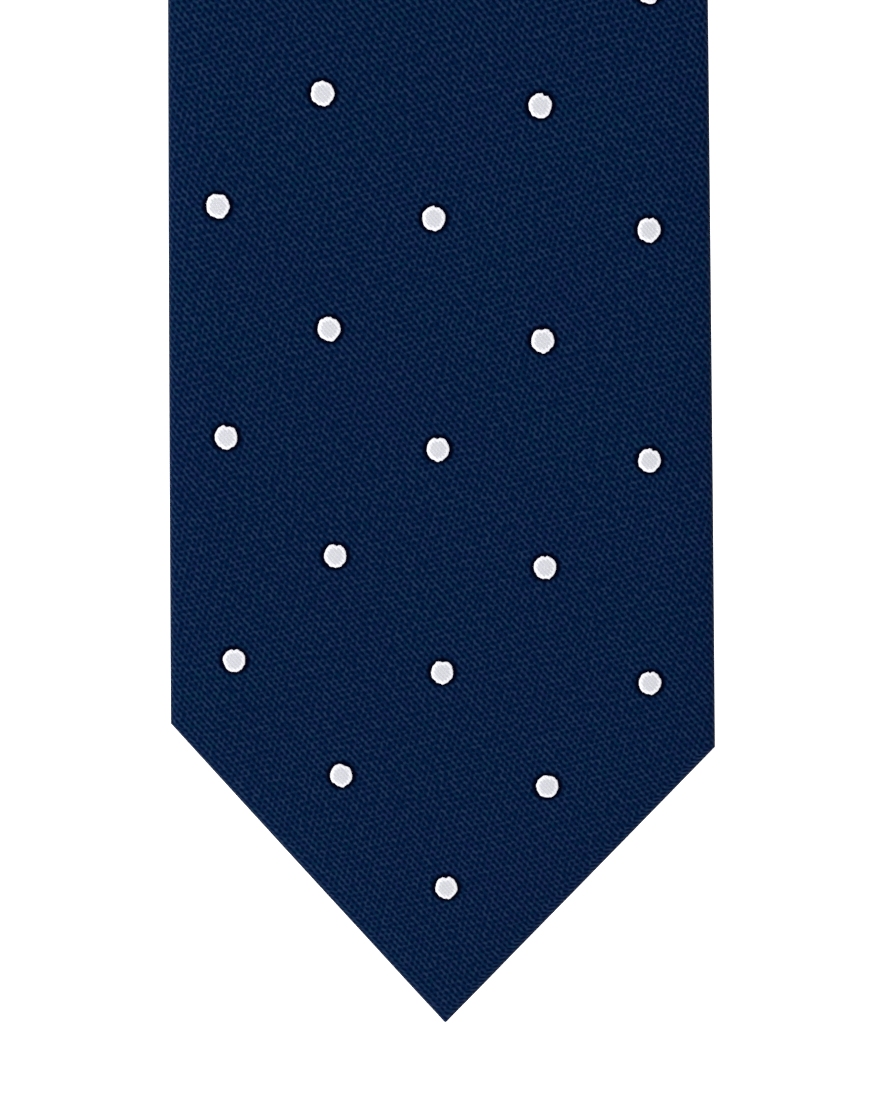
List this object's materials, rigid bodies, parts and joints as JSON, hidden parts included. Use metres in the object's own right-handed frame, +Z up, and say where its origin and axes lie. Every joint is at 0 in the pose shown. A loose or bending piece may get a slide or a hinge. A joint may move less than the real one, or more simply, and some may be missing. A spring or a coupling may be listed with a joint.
{
  "type": "necktie",
  "caption": "Navy silk twill necktie with small woven spots, hung over a rail, with wool interlining, tipped points, keeper loop and blank labels.",
  "frame": {"origin": "axis of the rail that the neck hangs over, in the middle of the tie's width", "axes": "+Z up along the hanging tie, +X across its width, -Y out of the front blade's show face"},
  "size_m": [0.085, 0.0262, 0.853],
  "materials": {
    "spotted_silk": "navy silk twill with a soft sheen and woven light-grey spots",
    "wool_canvas": "matte brushed wool",
    "tipping_satin": "smooth navy satin",
    "navy_thread": "matte twisted thread",
    "label_tape": "damask-woven tape with a plain border",
    "care_tape": "matte white woven tape",
    "label_thread": "matte grey thread"
  },
  "bodies": {
    "neck": {"neck_shell": "spotted_silk", "neck_interlining": "wool_canvas", "neck_slip_stitch": "navy_thread", "front_join_seam": "navy_thread", "tail_join_seam": "navy_thread"},
    "front_upper": {"front_shell_upper": "spotted_silk", "front_interlining_upper": "wool_canvas", "front_slip_stitch_upper": "navy_thread"},
    "front_lower": {"front_shell_lower": "spotted_silk", "front_interlining_lower": "wool_canvas", "front_slip_stitch_lower": "navy_thread", "front_tipping": "tipping_satin", "front_hem_stitches": "navy_thread", "front_bar_tack": "navy_thread", "keeper_loop": "spotted_silk", "keeper_stitches": "navy_thread", "maker_label": "label_tape", "label_stitches": "label_thread", "care_label_stitches": "label_thread"},
    "care_tab": {"care_label": "care_tape"},
    "tail_upper": {"tail_shell_upper": "spotted_silk", "tail_interlining_upper": "wool_canvas", "tail_slip_stitch_upper": "navy_thread"},
    "tail_lower": {"tail_shell_lower": "spotted_silk", "tail_interlining_lower": "wool_canvas", "tail_slip_stitch_lower": "navy_thread", "tail_tipping": "tipping_satin", "tail_hem_stitches": "navy_thread", "tail_bar_tack": "navy_thread"}
  },
  "joints": [
    {"name": "front_swing", "type": "hinge", "parent": "neck", "child": "front_upper", "pos_m": [0, -0.01305, -0.11015], "axis": [-1, 0, 0], "range_deg": [-0.7, 75]},
    {"name": "front_fold", "type": "hinge", "parent": "front_upper", "child": "front_lower", "pos_m": [0, -0.01305, -0.42], "axis": [-1, 0, 0], "range_deg": [0, 160]},
    {"name": "tail_swing", "type": "hinge", "parent": "neck", "child": "tail_upper", "pos_m": [0, 0.01305, -0.17415], "axis": [1, 0, 0], "range_deg": [-0.7, 75]},
    {"name": "tail_fold", "type": "hinge", "parent": "tail_upper", "child": "tail_lower", "pos_m": [0, 0.01305, -0.41979], "axis": [1, 0, 0], "range_deg": [0, 160]},
    {"name": "care_label_flip", "type": "hinge", "parent": "front_lower", "child": "care_tab", "pos_m": [0, -0.00953, -0.69615], "axis": [1, 0, 0], "range_deg": [0, 130]}
  ]
}
